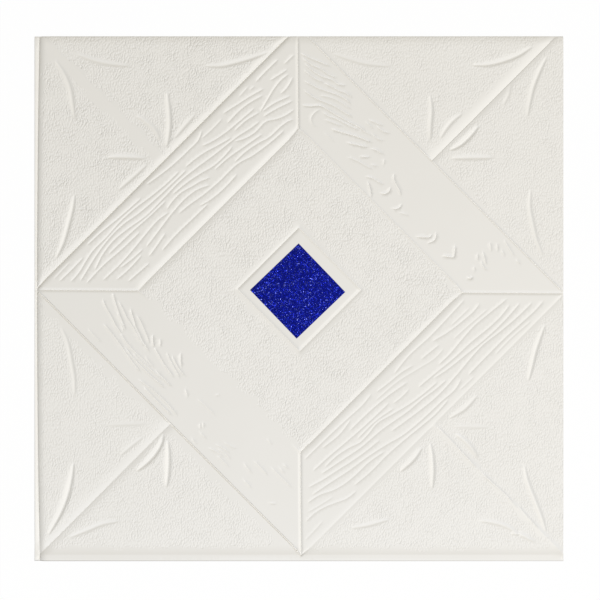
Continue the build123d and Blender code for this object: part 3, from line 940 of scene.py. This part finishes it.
def pressed_foam():
    """Closed-cell polyethylene foam under a heat-pressed skin: a warm white with a satin sheen, glossier
    where it was pressed flat. The pebbled grain shows as a fine soft stipple that fades out in ragged
    patches, with a painted highlight on the pebble tops, and painted shade darkens the bare cut edge."""
    material, tree = new_material("pressed_polyethylene_foam")
    where = add_node(tree, "ShaderNodeTexCoord").outputs["Object"]
    mask, pressed, bite, edge_shade = (add_node(tree, "ShaderNodeAttribute", attribute_name=name).outputs["Fac"]
                                for name in ("pebbled", "pressed", "bite", "edge_shade"))

    # Pebbles, drawn out up the panel, in rows that wander.
    drawn_out = add_node(tree, "ShaderNodeVectorMath", {0: where, 1: (1.0, 1 / PEBBLE_LONG, 1.0)},
                         operation="MULTIPLY")
    drift = add_node(tree, "ShaderNodeTexNoise",
                     {"Vector": drawn_out, "Scale": 1 / (2.2 * PEBBLE * MM), "Detail": 1.0},
                     noise_dimensions="2D").outputs["Color"]
    sway = add_node(tree, "ShaderNodeVectorMath", {0: drift, 1: (0.5, 0.5, 0.5)}, operation="SUBTRACT")
    wander = add_node(tree, "ShaderNodeVectorMath", {0: sway, 1: (PEBBLE * MM,) * 3, 2: drawn_out},
                      operation="MULTIPLY_ADD")
    pebbles = add_node(tree, "ShaderNodeTexVoronoi",
                       {"Vector": wander, "Scale": 1 / (PEBBLE * MM), "Smoothness": 0.6},
                       voronoi_dimensions="2D", feature="SMOOTH_F1").outputs["Distance"]

    # Where they are: up to a ragged border, and not in a pleat.
    patches = add_node(tree, "ShaderNodeTexNoise",
                       {"Vector": where, "Scale": 1 / (RAGGED * MM), "Detail": 3.0})
    held = add_node(tree, "ShaderNodeMath", {0: mask, 1: 1.8, 2: 1.3}, operation="MULTIPLY_ADD")
    ragged = add_node(tree, "ShaderNodeMath", {0: patches, 1: -3.9, 2: held}, operation="MULTIPLY_ADD")
    torn = add_node(tree, "ShaderNodeMath", {0: ragged, 1: 5.0}, operation="MULTIPLY", use_clamp=True)
    within = add_node(tree, "ShaderNodeMath", {0: mask, 1: 10.0}, operation="MULTIPLY", use_clamp=True)
    covered = add_node(tree, "ShaderNodeMath", {0: torn, 1: within}, operation="MULTIPLY")
    smooth = add_node(tree, "ShaderNodeMath", {0: pressed, 1: -3.0, 2: 1.0}, operation="MULTIPLY_ADD",
                      use_clamp=True)
    grained = add_node(tree, "ShaderNodeMath", {0: covered, 1: smooth}, operation="MULTIPLY")

    # How deep they are: by corner, and more or less in patches.
    level = add_node(tree, "ShaderNodeMath", {0: pebbles, 1: PEBBLE_MIDDLE}, operation="SUBTRACT")
    bitten = add_node(tree, "ShaderNodeMath", {0: grained, 1: bite}, operation="MULTIPLY")
    patchy = add_node(tree, "ShaderNodeMath", {0: patches, 1: 2.4, 2: -0.2}, operation="MULTIPLY_ADD")
    uneven = add_node(tree, "ShaderNodeMath", {0: bitten, 1: patchy}, operation="MULTIPLY")
    stand = add_node(tree, "ShaderNodeMath", {0: level, 1: uneven}, operation="MULTIPLY")
    bump = add_node(tree, "ShaderNodeBump",
                    {"Strength": 1.0, "Distance": PEBBLE_DEPTH * MM, "Height": stand}, invert=True)

    # Tint: a slow drift, a painted highlight on the pebble tops, and painted shade on the cut edge.
    cloud = add_node(tree, "ShaderNodeTexNoise", {"Vector": where, "Scale": 1 / (CLOUD * MM), "Detail": 3.0})
    tint = add_node(tree, "ShaderNodeMix", {"Factor": cloud, 6: linear("#EFEDE9"), 7: linear("#EBE9E4")},
                    data_type="RGBA").outputs[2]
    # Painted highlight: the pebble tops are painted paler than the hollows between them.
    highlight_tops = add_node(tree, "ShaderNodeMath", {0: pebbles, 1: -1.2, 2: 0.7}, operation="MULTIPLY_ADD",
                    use_clamp=True)
    painted_highlight = add_node(tree, "ShaderNodeMath", {0: highlight_tops, 1: grained}, operation="MULTIPLY")
    tint_with_highlight = add_node(tree, "ShaderNodeMix", {"Factor": painted_highlight, 6: tint, 7: linear("#F6F4F0")},
                         data_type="RGBA").outputs[2]
    # Painted shade: the cut edge is mixed towards a dark grey.
    body = add_node(tree, "ShaderNodeMix", {"Factor": edge_shade, 6: tint_with_highlight, 7: linear("#A8A39B")},
                    data_type="RGBA").outputs[2]
    roughness = add_node(tree, "ShaderNodeMath", {0: grained, 1: 0.1, 2: 0.48}, operation="MULTIPLY_ADD")
    skin = add_node(tree, "ShaderNodeBsdfPrincipled",
                    {"Base Color": body, "Roughness": roughness, "IOR": 1.5, "Normal": bump})
    add_node(tree, "ShaderNodeOutputMaterial", {"Surface": skin})
    return material


def glitter():
    """Cut polyester glitter, dyed blue over a metal coat: mostly deep navy, with flakes that flash paler as
    they tilt to the light."""
    material, tree = new_material("blue_polyester_glitter")
    tone = add_node(tree, "ShaderNodeAttribute", attribute_name="tone").outputs["Fac"]
    dye = add_node(tree, "ShaderNodeValToRGB", {0: tone})
    stops = dye.color_ramp.elements
    stops[0].position = 0.0
    stops[0].color = linear("#041290")
    stops[1].position = 0.6
    stops[1].color = linear("#0C20A8")
    for position, colour in ((0.86, "#303FAE"), (1.0, "#6A75C2")):
        stops.new(position).color = linear(colour)
    flash = add_node(tree, "ShaderNodeBsdfPrincipled",
                     {"Base Color": dye, "Metallic": 0.85, "Roughness": 0.34})
    add_node(tree, "ShaderNodeOutputMaterial", {"Surface": flash})
    return material


def paper_floor():
    """A white paper floor: plain white to the eye, with the panel's soft shadow left on it."""
    material, tree = new_material("white_paper")
    material.cycles.emission_sampling = "NONE"
    path = add_node(tree, "ShaderNodeLightPath").outputs
    seen = add_node(tree, "ShaderNodeMath", {0: path["Is Camera Ray"], 1: path["Is Glossy Ray"]},
                    operation="MAXIMUM")
    shown_to = add_node(tree, "ShaderNodeMath", {0: seen, 1: path["Is Transmission Ray"]},
                        operation="MAXIMUM")
    share = add_node(tree, "ShaderNodeMath", {0: shown_to, 1: PAPER_GLOW}, operation="MULTIPLY")
    paper = add_node(tree, "ShaderNodeBsdfDiffuse", {"Color": linear("#FDFDFC")})
    glow = add_node(tree, "ShaderNodeEmission", {"Color": linear("#FFFFFF"), "Strength": 1.0})
    shown = add_node(tree, "ShaderNodeMixShader", {0: share, 1: paper, 2: glow})
    add_node(tree, "ShaderNodeOutputMaterial", {"Surface": shown})
    return material


def studio():
    """White floor, a large soft lamp high at the right, a small one at the foot, pale light all round, and
    the camera straight above."""
    bpy.ops.mesh.primitive_plane_add(size=FLOOR_SIDE)
    floor = bpy.context.object
    floor.name = "floor"
    floor.data.materials.append(paper_floor())

    for name, place, size, power, colour in LAMPS:
        lamp = bpy.data.lights.new(name, "AREA")
        lamp.shape = "SQUARE"
        lamp.size = size
        lamp.energy = power
        lamp.color = linear(colour)[:3]
        hung = bpy.data.objects.new(name, lamp)
        bpy.context.scene.collection.objects.link(hung)
        hung.location = place
        hung.rotation_euler = (-hung.location).to_track_quat("-Z", "Y").to_euler()

    world = bpy.data.worlds.new("pale_room")
    world.use_nodes = True
    tree = world.node_tree
    tree.nodes.clear()
    air = add_node(tree, "ShaderNodeBackground", {"Color": linear("#FFF9E6"), "Strength": 0.30})
    add_node(tree, "ShaderNodeOutputWorld", {"Surface": air})
    bpy.context.scene.world = world

    lens = bpy.data.cameras.new("camera")
    lens.lens = 100
    lens.sensor_width = 36
    camera = bpy.data.objects.new("camera", lens)
    bpy.context.scene.collection.objects.link(camera)
    camera.location = CAMERA_PLACE
    bpy.context.scene.camera = camera
    bpy.context.scene.view_settings.view_transform = "Standard"


studio()
foam = foam_panel(pressed_foam())
film = glitter_film(glitter())
for piece, node, slot in ((foam, "foam_panel", "foam"), (film, "glitter_film", "glitter")):
    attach(piece, "root")
    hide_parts(node)
